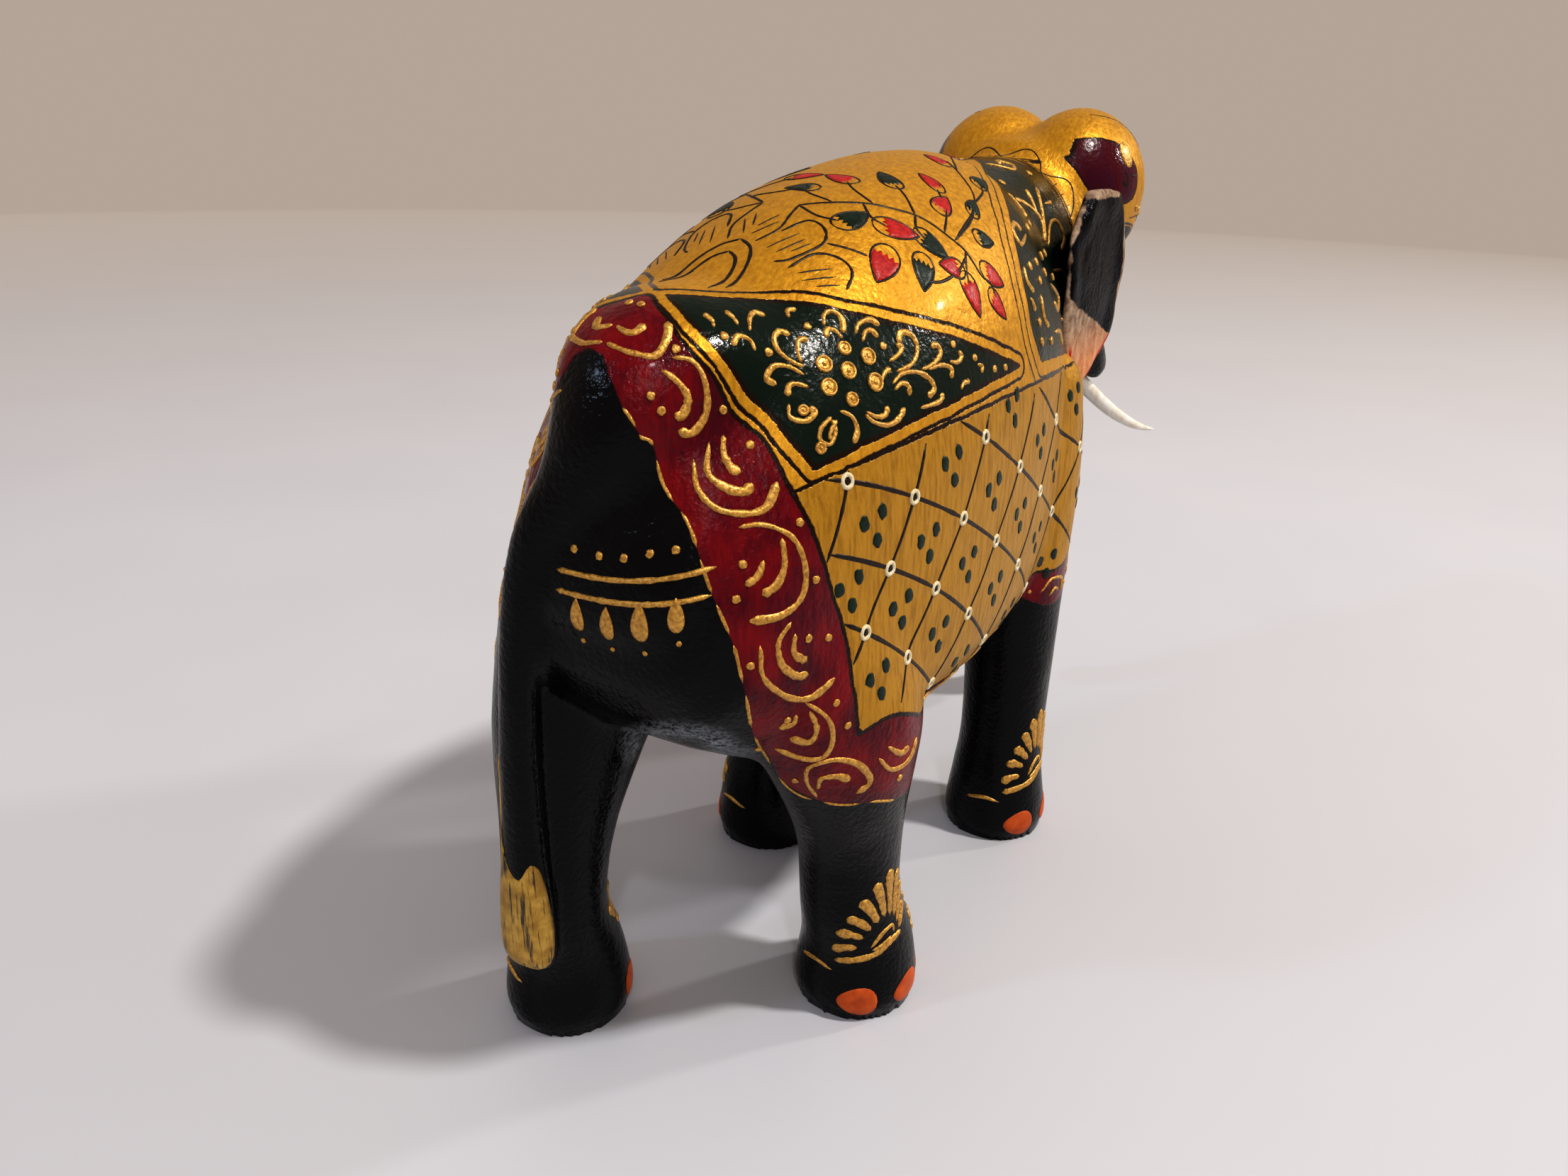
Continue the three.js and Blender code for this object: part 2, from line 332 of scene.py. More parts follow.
def floor_material():
    """A pale table that fades into the glow of the backdrop, away from the elephant."""
    s = Shader("pale_floor", Roughness=0.5, Emission_Color=BACKDROP)
    table = s.mix(s.noise(60, 2), rgb(0.54, 0.55, 0.6), rgb(0.58, 0.59, 0.63))
    distance = s.node("VectorMath", {0: s.place}, operation="LENGTH").outputs["Value"]
    fade = s.ramp(distance, 0.22, 1.1)
    s.colour(s.mix(fade, table, rgb(0, 0, 0)))
    s.feed(s.principled.inputs["Specular IOR Level"], s.blend(fade, 0.5, 0.0))
    s.feed(s.principled.inputs["Emission Strength"], s.times(fade, BACKDROP_GLOW))
    return s.material


# ---- Meshes ----

def add_piece(name, data, material):
    """A visible piece that rides on the one body of this figure."""
    piece = bpy.data.objects.new(name, data)
    collection.objects.link(piece)
    data.materials.clear()
    data.materials.append(material)
    data.polygons.foreach_set("use_smooth", np.ones(len(data.polygons), bool))
    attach(piece, "root")
    return piece


def remeshed(node, voxel):
    """A fine, even copy of a CAD node's mesh."""
    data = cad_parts[node].data.copy()
    scratch = bpy.data.objects.new("scratch", data)
    collection.objects.link(scratch)
    welded = bmesh.new()
    welded.from_mesh(data)
    bmesh.ops.remove_doubles(welded, verts=welded.verts, dist=1e-6)
    welded.to_mesh(data)
    welded.free()
    remesh = scratch.modifiers.new("remesh", "REMESH")
    remesh.mode = "VOXEL"
    remesh.voxel_size = voxel * UNIT
    evaluated = scratch.evaluated_get(bpy.context.evaluated_depsgraph_get())
    fine = bpy.data.meshes.new_from_object(evaluated)
    bpy.data.objects.remove(scratch)
    return fine


def places_of(data):
    """A mesh's vertices in units."""
    flat = np.zeros(len(data.vertices) * 3, np.float32)
    data.vertices.foreach_get("co", flat)
    return flat.reshape(-1, 3).astype(float) / UNIT


def set_places(data, places):
    data.vertices.foreach_set("co", (places * UNIT).astype(np.float32).ravel())
    data.update()


def smoothed(data, places, rounds, share=0.5):
    """Each vertex moves a share of the way to the middle of its neighbours, several times."""
    edges = np.zeros(len(data.edges) * 2, np.int64)
    data.edges.foreach_get("vertices", edges)
    edges = edges.reshape(-1, 2)
    count = len(places)
    joins = np.bincount(edges.ravel(), minlength=count)[:, None]
    for _ in range(rounds):
        total = np.zeros_like(places)
        for axis in range(3):
            total[:, axis] += np.bincount(edges[:, 0], places[edges[:, 1], axis], count)
            total[:, axis] += np.bincount(edges[:, 1], places[edges[:, 0], axis], count)
        places = (1 - share) * places + share * total / joins
    return places


def smoothstep(value, low, high):
    t = np.clip((value - low) / (high - low), 0, 1)
    return t * t * (3 - 2 * t)


def bell(value, middle, width):
    return np.exp(-(((value - middle) / width) ** 2))


def carved_body_mesh():
    """The carved block with its hard joins rounded over, as sanded and lacquered wood is."""
    data = remeshed("carved_body", BODY_VOXEL)
    places = smoothed(data, places_of(data), 10)
    x, y, z = places.T.copy()
    # The rump's ridge runs into the flanks without a crease.
    beside = smoothstep(z, 64, 70) * smoothstep(-x, 2, 5) + smoothstep(z, 66, 72) * smoothstep(x, 4, 7)
    places = smoothed(data, places, 50, (0.5 * smoothstep(y, 40, 46) * beside)[:, None])
    x, y, z = places.T.copy()
    # Fuller flanks low down.
    along_belly = smoothstep(y, -16, -4) * smoothstep(-y, -44, -34)
    places[:, 0] += np.sign(x) * 0.7 * bell(z, 40, 7) * along_belly * smoothstep(abs(x), 10, 16)
    # The eye sockets and the brows above them.
    for side in (RIGHT, LEFT):
        on_side = smoothstep(side * x, 6, 9)
        places[:, 0] -= side * 0.7 * on_side * bell(y, -46.5, 3.2) * bell(z, 77.5, 2.6)
        places[:, 0] += side * 0.5 * on_side * bell(y, -46, 4.5) * bell(z, 82.5, 2.2)
    # The soles stay flat on the floor.
    places[:, 2] = np.where(z < 0.9, 0, places[:, 2])
    set_places(data, places)
    return data


body_mesh = carved_body_mesh()
body_places = places_of(body_mesh)


class Surface:
    """A skin that paint is laid on: rays give a point and a smooth normal."""

    def __init__(self, data):
        self.data = data
        self.corners = [list(face.vertices) for face in data.polygons]
        self.points = places_of(data)
        self.tree = BVHTree.FromPolygons(self.points.tolist(), self.corners)
        normals = np.zeros(len(data.vertices) * 3, np.float32)
        data.vertex_normals.foreach_get("vector", normals)
        self.normals = normals.reshape(-1, 3)

    def hit(self, origin, direction):
        """The point the ray meets, or else the nearest one, with the skin's smooth normal there."""
        point, _, face, _ = self.tree.ray_cast(origin, direction)
        if point is None:
            point, _, face, _ = self.tree.find_nearest(origin)
        corners = self.corners[face]
        away = np.linalg.norm(self.points[corners] - np.array(point), axis=1)
        weights = 1 / (away + 0.05) ** 2
        normal = Vector((self.normals[corners] * weights[:, None]).sum(0)).normalized()
        return point, normal


body = Surface(body_mesh)
FAR = 60


def on_flank(side):
    """The body chart of one side: (y, angle) to a point and a normal."""

    def chart(y, angle):
        around = math.radians(angle)
        out = Vector((side * math.sin(around), 0, math.cos(around)))
        return body.hit(Vector((0, y, AXIS_Z)) + out * FAR, -out)

    return chart


def from_behind(x, z):
    return body.hit(Vector((x, FAR * 1.5, z)), Vector((0, -1, 0)))


def from_front(x, z):
    return body.hit(Vector((x, -FAR * 1.5, z)), Vector((0, 1, 0)))


def from_side(side):
    return lambda y, z: body.hit(Vector((side * FAR, y, z)), Vector((-side, 0, 0)))


def round_leg(foot, side, turn):
    """A leg's chart: (angle, height). The angle goes from outward towards the front, in degrees."""

    def chart(angle, height):
        around = math.radians(angle + turn)
        out = Vector((side * math.cos(around), -math.sin(around), 0))
        return body.hit(Vector((*foot, height)) + out * 11, -out)

    return chart


def round_tail(angle, height):
    """The tail's chart near its tuft: the angle goes from backward towards the left, in degrees."""
    around = math.radians(angle)
    out = Vector((math.sin(around), math.cos(around), 0))
    return body.hit(Vector((11, 57.5, height)) + out * 8, -out)


class Spot:
    """A flat patch laid on the surface at a point, with its own (along, up) coordinates."""

    def __init__(self, chart, u, v, along, up=(0, 0, 1), turn=0.0):
        self.point, self.normal = chart(u, v)
        flat = (Vector(along) - self.normal * self.normal.dot(Vector(along))).normalized()
        rise = self.normal.cross(flat)
        if rise.dot(Vector(up)) < 0:
            rise = -rise
        angle = math.radians(turn)
        self.along = flat * math.cos(angle) + rise * math.sin(angle)
        self.up = rise * math.cos(angle) - flat * math.sin(angle)

    def __call__(self, a, b):
        above = self.point + self.along * a + self.up * b + self.normal * 3
        return body.hit(above, -self.normal)

    def shifted(self, a, b, turn):
        """The patch at (a, b) of this one, turned further."""
        point, _ = self(a, b)
        return Spot(lambda u, v: (point, self.normal), 0, 0, self.along, self.up, turn)


# ---- Painted regions ----

RUMP_EDGE = [(56.7, 0), (57.6, 5), (58, 12), (57.4, 19), (56.4, 27), (56.3, 50), (56.6, 74), (56.2, 95),
             (55.6, 110), (54.5, 126), (51.5, 141), (45.5, 153)]
HEM_EDGE = [(45.5, 153), (43, 149), (39, 145), (34, 145), (24, 147), (8, 147), (-10, 139), (-22, 136)]
FRONT_EDGE = [(-22, 136), (-27, 128), (-27.5, 95), (-28, 66)]
BORDER_EDGE = [(50, 0), (51.8, 7), (52.8, 17), (51.6, 27), (50.2, 36), (49.4, 44), (49.4, 58), (48.6, 72),
               (46.9, 92), (45, 108), (43.9, 121), (42.6, 133)]
BAND_EDGE = [(42.6, 133), (39.4, 130), (35.5, 130.5), (30, 134.5), (20, 137), (2, 136.5), (-10, 131),
             (-19, 128)]
CHEST_EDGE = [(-19, 128), (-21.5, 112), (-22.5, 90), (-23, 66)]
NECK_EDGE = [(-23, 66), (-27.5, 50), (-27, 22), (-26, 10), (-27, 0)]
TRIANGLE = [
    [(49.6, 3), (46.6, 10.4), (41.4, 19.4), (36.7, 31), (29.6, 40.8), (18.4, 51), (12.2, 56)],
    [(12.2, 56), (23, 57), (36, 57.6), (47, 58)],
    [(47, 58), (47.8, 48), (48.2, 38), (50.2, 26), (51, 15), (49.6, 3)],
]
WEDGE = [
    [(-19.5, 0), (-13, 8), (-5.2, 16.7), (2.9, 29.4), (5.8, 39.6), (6.3, 50), (4.4, 57)],
    [(4.4, 57), (-8, 57), (-22, 57)],
    [(-22, 57), (-26.5, 44), (-26.5, 24), (-25.5, 9), (-25.5, 0)],
]
LATTICE_TOP = 61.8
CAP = [
    [(-26.6, 101), (-27.3, 92), (-27.8, 87), (-28, 81)],
    [(-28, 81), (-34, 83.5), (-41, 84.5), (-46, 83.5), (-50, 80), (-54, 76), (-60, 76)],
]
TEMPLE = [(-31.5, 93.8), (-33, 95.6), (-36, 96), (-39.5, 95), (-42, 92), (-41.5, 88.6), (-38, 87.6),
          (-34, 88.4), (-32.3, 90)]
TAIL = [(0.9, 55.5, 76.4), (2.6, 57.5, 72), (4.4, 58.3, 68), (7, 59.1, 62), (9.2, 59.1, 50),
        (10.5, 58.7, 38), (11, 58.3, 28)]
# The line of the painted highlight band under the belly and down the right hind leg's inner edge.
HIGHLIGHT_BAND_ARCH = [(5.5, 46, 34.5), (0, 51, 41), (-4.9, 55, 44), (-9, 55, 45), (-9.4, 52, 42.5), (-7.8, 47, 38),
             (-6.5, 40, 31), (-6.3, 33, 22), (-6.3, 31, 14)]


def curve_through(points, steps=6):
    """A smooth curve through points of any dimension, as a list of points."""
    points = [np.array(p, float) for p in points]
    if len(points) == 2:
        return list(np.linspace(points[0], points[1], steps + 1))
    ends = [2 * points[0] - points[1], *points, 2 * points[-1] - points[-2]]
    made = []
    for a, b, c, d in zip(ends, ends[1:], ends[2:], ends[3:]):
        for t in np.arange(steps) / steps:
            made.append(0.5 * (2 * b + (c - a) * t + (2 * a - 5 * b + 4 * c - d) * t ** 2
                               + (3 * b - a - 3 * c + d) * t ** 3))
    return [*made, points[-1]]


def outline_of(curves):
    return np.array([p for curve in curves for p in curve_through(curve)])


def inside_outline(places, outline):
    """True for the flat places inside a closed outline."""
    x, y = places.T
    within = np.zeros(len(places), bool)
    for (x1, y1), (x2, y2) in zip(outline, np.roll(outline, -1, 0)):
        crosses = (y1 > y) != (y2 > y)
        reach = (x2 - x1) * (y - y1) / (y2 - y1 if y2 != y1 else 1) + x1
        within ^= crosses & (x < reach)
    return within


def away_from(places, line):
    """Each place's distance to a line of points in space."""
    best = np.full(len(places), 1e9)
    for a, b in zip(line, line[1:]):
        step = b - a
        share = np.clip((places - a) @ step / max(step @ step, 1e-9), 0, 1)
        best = np.minimum(best, np.linalg.norm(places - a - share[:, None] * step, axis=1))
    return best


def flank_places():
    """Every vertex in the body chart, with the left side folded onto the right."""
    x, y, z = body_places.T
    return np.stack([y, np.degrees(np.arctan2(abs(x), z - AXIS_Z))], 1)


def add_field(data, name, values):
    attribute = data.attributes.new(name, "FLOAT", "POINT")
    attribute.data.foreach_set("value", values.astype(np.float32))


def signed(flat, curves, charts, closing=()):
    """Distance to the curves, positive inside the outline they make with the closing points."""
    outline = np.array([*outline_of(curves), *closing])
    away = np.full(len(flat), 1e9)
    for chart in charts:
        for curve in curves:
            line = np.array([chart(*p)[0] for p in curve_through(curve)])
            away = np.minimum(away, away_from(body_places, line))
    return np.where(inside_outline(flat, outline), away, -away)


def paint_regions():
    flat = flank_places()
    profile = body_places[:, 1:]
    flanks = [on_flank(RIGHT), on_flank(LEFT)]
    sides = [from_side(RIGHT), from_side(LEFT)]
    beyond = -5  # an angle past the spine, where an outline closes
    below = 179  # an angle under the belly

    blanket_edges = [RUMP_EDGE, HEM_EDGE, FRONT_EDGE, [FRONT_EDGE[-1], *NECK_EDGE[1:]]]
    blanket = signed(flat, blanket_edges, flanks, [(-27, beyond), (56.7, beyond)])
    bare_tail = away_from(body_places, curve_through(TAIL)) - 3.2
    panel = [BORDER_EDGE, BAND_EDGE, CHEST_EDGE, NECK_EDGE]
    lattice_top = [(60, LATTICE_TOP), (20, LATTICE_TOP), (-30, LATTICE_TOP)]
    x = body_places[:, 0]
    outward = 4 * (np.sign(x) * body.normals[:, 0] - np.where(x < 0, 0.35, 0.7))
    regions = {
        "blanket": np.minimum(blanket, bare_tail),
        "panel": signed(flat, panel, flanks, [(-27, beyond), (50.2, beyond)]),
        "triangle": signed(flat, TRIANGLE, flanks),
        "wedge": signed(flat, WEDGE, flanks, [(-25.5, beyond), (-19.5, beyond)]),
        "lattice": signed(flat, [lattice_top], flanks, [(-30, below), (60, below)]),
        "cap": signed(profile, CAP, sides, [(-70, 76), (-70, 110), (-26.6, 110)]),
        "temple": np.minimum(signed(profile, [[*TEMPLE, TEMPLE[0]]], sides), outward),
        # the painted highlight band under the belly
        "highlight_band": 1.4 - away_from(body_places, curve_through(HIGHLIGHT_BAND_ARCH)),
    }
    for name, values in regions.items():
        add_field(body_mesh, name, values)


paint_regions()


# ---- Brush strokes ----

SECTION = 6  # points across a stroke's crown


def full_turn(count):
    """Evenly spaced angles round a circle."""
    return np.arange(count) * 2 * math.pi / count


def crown(point, side, normal, half, height):
    """The low arch of paint across a stroke, from edge to edge."""
    arch = []
    for k in range(SECTION):
        angle = math.pi * k / (SECTION - 1)
        lift = (height + SINK) * math.sin(angle) - SINK
        arch.append(point + side * half * math.cos(angle) + normal * lift)
    return arch


class Brush:
    """Gathers strokes and blobs of one paint, then becomes one piece."""

    def __init__(self):
        self.vertices, self.faces = [], []

    def strip(self, rings, looped=False):
        """Rings of equal count joined into one closed body, with ends unless it is looped."""
        start, count, around = len(self.vertices), len(rings), len(rings[0])
        for ring in rings:
            self.vertices.extend(ring)
        for row in range(count if looped else count - 1):
            here, there = start + row * around, start + (row + 1) % count * around
            for k in range(around):
                after = (k + 1) % around
                self.faces.append((here + k, here + after, there + after, there + k))
        if not looped:
            end = start + (count - 1) * around
            self.faces.append(tuple(range(start + around - 1, start - 1, -1)))
            self.faces.append(tuple(range(end, end + around)))

    def stroke(self, chart, points, width, style="even", height=STROKE_HEIGHT, steps=5):
        """Paint drawn along a curve. A comma grows from a thin tail to a round head."""
        spine = [chart(*p) for p in curve_through(points, steps)]
        path = np.array([p for p, _ in spine])
        lengths = np.concatenate([[0], np.cumsum(np.linalg.norm(np.diff(path, axis=0), axis=1))])
        total = max(lengths[-1], 1e-6)
        rings = []
        for i, (point, normal) in enumerate(spine):
            along = Vector(path[min(i + 1, len(path) - 1)] - path[max(i - 1, 0)])
            if along.length < 1e-6:
                continue
            side = normal.cross(along.normalized()).normalized()
            t = lengths[i] / total
            half = width / 2 * self.profile(style, t) * (1 + 0.1 * rng.standard_normal())
            cap = max(half, 0.12)
            near_end = min(lengths[i], total - lengths[i])
            half *= math.sqrt(max(0.06, 1 - max(0, 1 - near_end / cap) ** 2))
            rise = height * min(1, half / (0.35 * width)) if style != "line" else height
            rings.append(crown(point, side, normal, half, rise))
        if len(rings) > 1:
            self.strip(rings)

    def strokes(self, chart, curves, width, style="even", steps=5):
        for points in curves:
            self.stroke(chart, points, width, style, steps=steps)

    def lines(self, chart, curves, width, height=LINE_HEIGHT, steps=5):
        """Thin flat lines of ink."""
        for points in curves:
            self.stroke(chart, points, width, "line", height, steps)

    @staticmethod
    def profile(style, t):
        if style == "comma":
            return 0.55 + 0.65 * t ** 1.2
        if style == "leaf":
            return 0.15 + 1.05 * math.sin(math.pi * min(1, t * 0.92 + 0.08)) ** 0.8
        return 1.0

    def blob(self, chart, outline, height=STROKE_HEIGHT, rings=4):
        """A filled shape with a rounded edge; the outline is a closed list of points."""
        outline = np.array(outline, float)
        middle = outline.mean(0)
        made = []
        for r in range(rings + 1):
            share = math.cos(math.pi / 2 * r / (rings + 1))
            lift = height * math.sin(math.pi / 2 * r / (rings + 1)) ** 0.6 - (SINK if r == 0 else 0)
            ring = []
            for p in outline:
                point, normal = chart(*(middle + (p - middle) * share))
                ring.append(point + normal * lift)
            made.append(ring)
        self.strip(made)

    def dot(self, spot, radius, height=STROKE_HEIGHT, around=12, squash=1.0):
        reach = radius * (1 + 0.08 * rng.standard_normal(around))
        turns = full_turn(around)
        self.blob(spot, np.stack([reach * np.cos(turns), squash * reach * np.sin(turns)], 1), height, 3)

    def ring(self, spot, radius, width, height=STROKE_HEIGHT):
        """A closed ring of paint, drawn as one round stroke that meets itself."""
        rings = []
        for t in full_turn(14):
            point, normal = spot(radius * math.cos(t), radius * math.sin(t))
            out = (point - spot.point).normalized()
            rings.append(crown(point, out, normal, width / 2, height))
        self.strip(rings, looped=True)

    def finish(self, name, material):
        data = bpy.data.meshes.new(name)
        data.from_pydata([Vector(v) * UNIT for v in self.vertices], [], self.faces)
        mesh = bmesh.new()
        mesh.from_mesh(data)
        bmesh.ops.recalc_face_normals(mesh, faces=mesh.faces)
        mesh.to_mesh(data)
        mesh.free()
        add_piece(name, data, material)


def flank_spot(side, y, angle, turn=0.0):
    """A patch on the flank: along is towards the head, and up is towards the spine."""
    return Spot(on_flank(side), y, angle, (0, -1, 0), (-side * 0.4, 0, 1), turn)


def flank_dots(brush, side, places, radius):
    for y, angle in places:
        brush.dot(flank_spot(side, y, angle), radius)


# The red border: arcs and commas, drawn in the body chart from the spine down to the hem.
BORDER_ARCS = [
    [(56.2, 0.6), (56.2, 4), (56, 8), (55, 13), (53.5, 12.4), (52.4, 10)],
    [(54.2, 16), (53, 20), (52.6, 25), (52.8, 29), (54, 30), (55, 27)],
    [(54.4, 36), (55, 46), (54.6, 56), (53, 62), (51.4, 63), (50, 57)],
    [(53.6, 66), (52, 68), (50.2, 75), (49.4, 85), (49.8, 94), (51.6, 99), (54.4, 101)],
    [(53.8, 109), (53.4, 119), (51, 125), (48.4, 126), (46, 120)],
    [(48.6, 127), (46.2, 130), (45.2, 135), (45.8, 140), (48.6, 144)],
    [(43.6, 149), (45.2, 147), (46, 143), (44.6, 139), (42, 138.5), (40, 141), (41, 144)],
    [(39.6, 137), (37.5, 139), (34.5, 138.5), (33, 136)],
]
BORDER_COMMAS = [
    [(54.8, 0.6), (55, 3), (54.8, 5.6), (53.8, 6.6)],
    [(55.2, 16), (54.6, 20), (54.1, 24), (54.6, 25.4), (55.2, 24)],
    [(53, 35), (54, 43), (53.4, 51), (52.4, 55), (51.6, 54)],
    [(51.8, 36), (52.4, 41), (52.4, 46), (52, 49)],
    [(51, 74), (51.2, 83), (52, 89), (53.2, 92)],
    [(52.6, 80), (53.2, 85), (54.2, 88)],
    [(51, 102), (52.2, 108), (51.8, 115), (50.2, 119), (48.8, 119)],
    [(50.6, 106), (50.6, 112), (49.2, 115)],
    [(48, 129), (47, 133), (47.2, 137), (48.6, 138)],
    [(49, 131), (49, 134), (50, 136)],
    [(44.2, 147), (44.6, 144), (43.4, 142), (42.2, 142)],
    [(38.6, 135), (36.4, 136.5), (35, 136)],
]
BORDER_DOTS = [(52, 1.6), (53.6, 15.6), (56.4, 17), (56, 21), (50.4, 43), (51.4, 31), (49.4, 71), (54, 80),
               (48.4, 90), (55, 93), (46.8, 109), (49.2, 108), (54.5, 116), (49.6, 133), (45.6, 126),
               (49.4, 147), (44, 131), (45.6, 149), (35.6, 141)]
HEM_STEP = 7.5


def hem_motif(brush, side, y):
    """One curl of the hem band and the comma inside it, under the lattice."""
    chart = on_flank(side)
    angle = float(np.interp(y, [-22, -8, 5, 30], [133, 136, 142, 141]))
    curl = [(y + 2.6, angle + 1.5), (y + 1, angle - 2.4), (y - 1.8, angle - 2), (y - 2.4, angle + 1)]
    brush.stroke(chart, curl, 0.6, "comma")
    brush.stroke(chart, [(y + 1, angle + 1.6), (y, angle - 0.2), (y - 1, angle + 0.2)], 0.5, "comma")
    brush.dot(flank_spot(side, y - 3.6, angle), 0.3)


def front_motif(brush, side, angle):
    """One curl of the border in front of the shoulder."""
    chart = on_flank(side)
    curl = [(-22.9, angle + 4), (-23.6, angle - 4), (-25.8, angle - 4.5), (-26.6, angle + 2)]
    brush.stroke(chart, curl, 0.6, "comma")
    brush.stroke(chart, [(-24.1, angle + 3), (-24.8, angle), (-25.6, angle + 1)], 0.5, "comma")


def paint_border(side, hand):
    brush = Brush()
    chart = on_flank(side)
    brush.strokes(chart, BORDER_ARCS, 0.84, "comma")
    brush.strokes(chart, BORDER_COMMAS, 0.92, "comma", 6)
    flank_dots(brush, side, BORDER_DOTS, DOT)
    for y in np.arange(26, -20, -HEM_STEP):
        hem_motif(brush, side, y)
    for angle in np.arange(75, 125, 13.0):
        front_motif(brush, side, angle)
    # The broken gold line along the outer edge.
    edge = curve_through([*RUMP_EDGE[2:], *HEM_EDGE[1:4]], 8)
    for first in range(0, len(edge) - 7, 8):
        brush.stroke(chart, edge[first:first + 7], 0.4, height=0.12, steps=1)
    brush.finish("border_scrolls_" + hand, raised_gold)


# The green triangle: a cluster of dots with scrolls round it.
TRIANGLE_SCROLLS = [
    [(44, 35), (44.6, 33), (45.4, 29), (45.2, 26.4), (44.2, 25.6), (43.4, 27.4)],
    [(44.4, 36.5), (45.2, 33), (46.4, 31), (47.4, 32), (46.8, 34.5)],
    [(46.6, 40), (47, 43), (46.2, 46), (45.2, 45.5), (45.4, 43.5)],
    [(43, 48), (42, 50.5), (41.8, 54), (42.6, 56.5)],
    [(40, 30), (39.2, 28), (38.2, 28.5), (38, 31), (38.8, 33.5)],
    [(37.6, 35), (36.7, 33.6), (35.3, 34), (34.6, 36)],
    [(35, 46), (32.6, 46), (31.2, 43.5), (31.4, 40.6), (32.6, 39.4), (33.4, 41)],
    [(31.6, 48), (29.8, 48), (28.2, 46.8), (28.2, 45), (29.2, 44.4)],
    [(36, 48), (34.4, 47), (32.4, 48), (30.8, 50.5), (30.4, 53), (31.6, 54)],
    [(40.4, 51.5), (39.6, 54), (38, 56), (36.4, 55.8), (35.2, 54)],
]
TRIANGLE_COMMAS = [
    [(49.8, 17.6), (49.4, 16), (49.4, 13.6)],
    [(47.6, 20), (47.4, 18), (47.4, 15.6)],
    [(47, 22.4), (46, 20), (44.8, 19), (44.2, 21)],
    [(47.6, 26.4), (47.6, 24), (48.4, 22), (49.4, 23)],
    [(42.2, 24), (41.6, 22.4), (40.9, 23.4)],
    [(44, 34), (43.8, 31.5), (43, 29.5), (42.2, 30.5)],
    [(44.6, 39.5), (45.4, 37), (46, 36.6), (46.4, 38.4)],
    [(39.2, 34.4), (39.4, 32.2), (40, 31), (40.6, 32.4)],
    [(37.4, 37.2), (36.6, 35.8), (35.8, 36), (35.5, 38)],
    [(35.4, 43.4), (34, 43), (33.2, 42), (33.8, 41)],
    [(30.6, 48.6), (28.4, 49), (27, 50.6), (27.4, 52.4)],
    [(27, 49), (25.7, 49.8), (24.8, 49), (25.2, 47.8)],
    [(22, 52), (21.2, 52.8), (21.6, 54)],
    [(26, 55.6), (25.4, 54.6), (24.2, 54.6)],
    [(36, 49.4), (34.8, 48.8), (34, 50), (34.2, 52)],
    [(33, 55.6), (31.4, 56), (29.8, 56), (29.2, 54.6)],
    [(40.2, 51), (39.2, 53), (38, 53.6), (37.4, 52)],
    [(37.2, 46.4), (36.4, 45), (35.6, 45)],
]
TRIANGLE_CLUSTER = [(40.4, 41, 1.0), (42.3, 37, 1.0), (39.6, 36.4, 0.8), (37.6, 40.4, 1.0), (38, 46, 1.1),
                    (41.3, 47, 0.8), (43, 42, 1.0), (45.9, 43.4, 0.55), (45.9, 54, 0.6)]
TRIANGLE_DOTS = [(46.4, 28), (49.6, 20.4), (35.4, 40), (25.8, 46), (18.6, 54.4), (41.4, 28), (16, 55),
                 (22.4, 50.4)]
TRIANGLE_LEAVES = [[(44, 48.4), (45.2, 49.5), (45.7, 52), (45, 54.2), (44.1, 52), (44, 49)],
                   [(43.6, 49.6), (44.6, 51.6), (44.8, 53.4)]]


def paint_triangle(side, hand):
    brush = Brush()
    chart = on_flank(side)
    brush.strokes(chart, TRIANGLE_SCROLLS, 0.72, "comma", 6)
    brush.strokes(chart, TRIANGLE_COMMAS, 0.68, "comma", 6)
    brush.strokes(chart, TRIANGLE_LEAVES, 0.5, steps=6)
    for y, angle, size in TRIANGLE_CLUSTER:
        spot = flank_spot(side, y, angle)
        brush.dot(spot, size * 0.72, 0.1)
        brush.ring(spot, size * 0.72, 0.34, 0.24)
        brush.dot(spot, size * 0.26, 0.24)
    flank_dots(brush, side, TRIANGLE_DOTS, DOT)
    brush.finish("triangle_scrolls_" + hand, raised_gold)


# The dark wedge on the neck: leafy scrolls and a trail of dots.
WEDGE_STROKES = [
    [(-17, 4), (-19.5, 9), (-21.8, 7.5), (-21, 4.5), (-19.4, 6)],
    [(-14.5, 27), (-16.5, 22), (-14, 18), (-12, 17)],
    [(-15, 27), (-18, 21), (-21, 15)],
    [(-16, 21), (-17, 17.5), (-17.5, 15)],
    [(-15.5, 28), (-19, 23.5), (-22, 23), (-23, 26.5), (-20.5, 29)],
    [(-20.5, 19), (-23, 19)],
    [(-2, 29), (2, 31.5), (2.6, 28.6), (0.6, 27), (-0.6, 28.4)],
    [(4.2, 36), (4.6, 39), (3.2, 41.5)],
    [(5, 42.5), (4.2, 45.5)],
    [(0.6, 42), (1, 47), (-0.6, 49.5)],
    [(-7, 39), (-12, 41), (-9, 45), (-6.5, 43.6)],
    [(-14, 34), (-19, 34), (-21, 38), (-18, 41)],
    [(-12, 47), (-17, 47), (-20, 51), (-17, 54)],
    [(-4, 51), (-8, 51), (-9.5, 54.5)],
    [(-8.5, 17), (-10.5, 20), (-9, 23)],
]
WEDGE_DOTS = [(-8, 25), (-4.6, 27), (-10.5, 31), (-1.6, 35), (1.8, 36), (-4.5, 37), (-0.6, 39), (-23.2, 11),
              (3.4, 48), (3.6, 52.6), (-1, 53), (-6, 33), (-13, 12), (-11, 36.5), (-15, 50), (-23, 47)]


